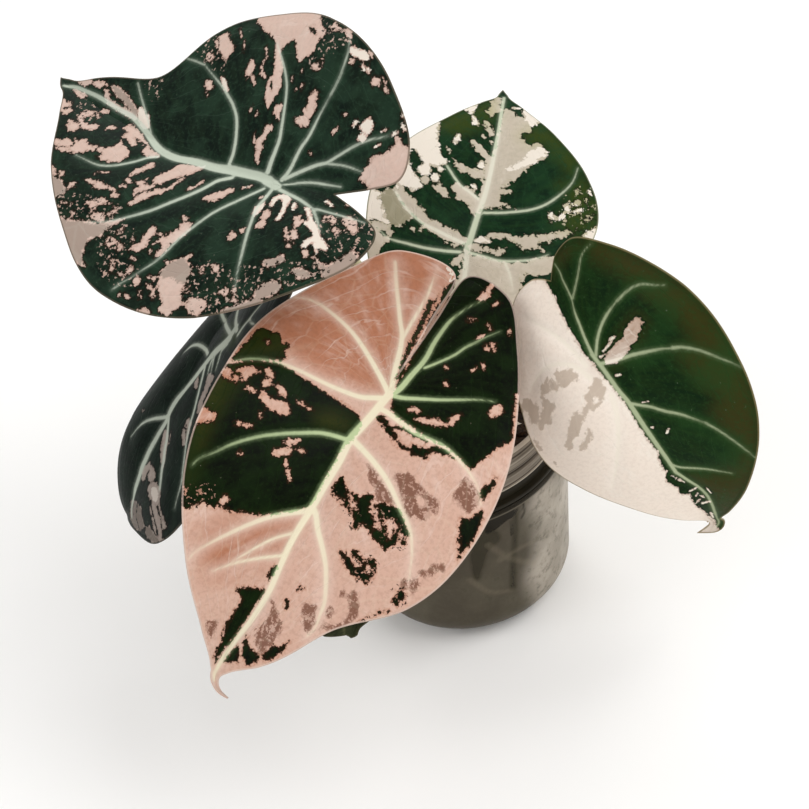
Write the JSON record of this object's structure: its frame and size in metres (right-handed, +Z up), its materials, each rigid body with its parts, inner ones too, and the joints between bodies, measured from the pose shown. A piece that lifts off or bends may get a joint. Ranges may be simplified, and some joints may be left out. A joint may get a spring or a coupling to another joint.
{
  "type": "potted plant",
  "caption": "Variegated shield-leaf houseplant with wide heart-shaped blades on bent stalks, in a ridged nursery pot inside a see-through grey cup",
  "frame": {"origin": "centre of the cup's flat foot, on the surface it stands on", "axes": "+Z up; the side seen in the picture, with the largest leaf, faces -Y; +X to its right"},
  "size_m": [0.1897, 0.2009, 0.1875],
  "materials": {
    "smoke_cup": "see-through smoke grey, satin",
    "pot_plastic": "satin",
    "potting_mix": "rough damp bark mix",
    "stem_skin": "matte",
    "root_skin": "matte",
    "petiole_skin": "smooth, faintly waxy",
    "blade_front": "faintly waxy leaf skin",
    "blade_upper_left": "faintly waxy leaf skin",
    "blade_back": "faintly waxy leaf skin",
    "blade_right": "faintly waxy leaf skin",
    "blade_lower_left": "faintly waxy leaf skin",
    "blade_lower_front": "faintly waxy leaf skin"
  },
  "bodies": {
    "root": {"outer_cup": "smoke_cup", "inner_pot": "pot_plastic", "potting_mix": "potting_mix", "stem_base": "stem_skin", "root_1": "root_skin", "root_2": "root_skin", "root_3": "root_skin", "leaf_front": "blade_front", "petiole_front": "petiole_skin", "leaf_upper_left": "blade_upper_left", "petiole_upper_left": "petiole_skin", "leaf_back": "blade_back", "petiole_back": "petiole_skin", "leaf_right": "blade_right", "petiole_right": "petiole_skin", "leaf_lower_left": "blade_lower_left", "petiole_lower_left": "petiole_skin", "leaf_lower_front": "blade_lower_front", "petiole_lower_front": "petiole_skin"}
  },
  "joints": []
}
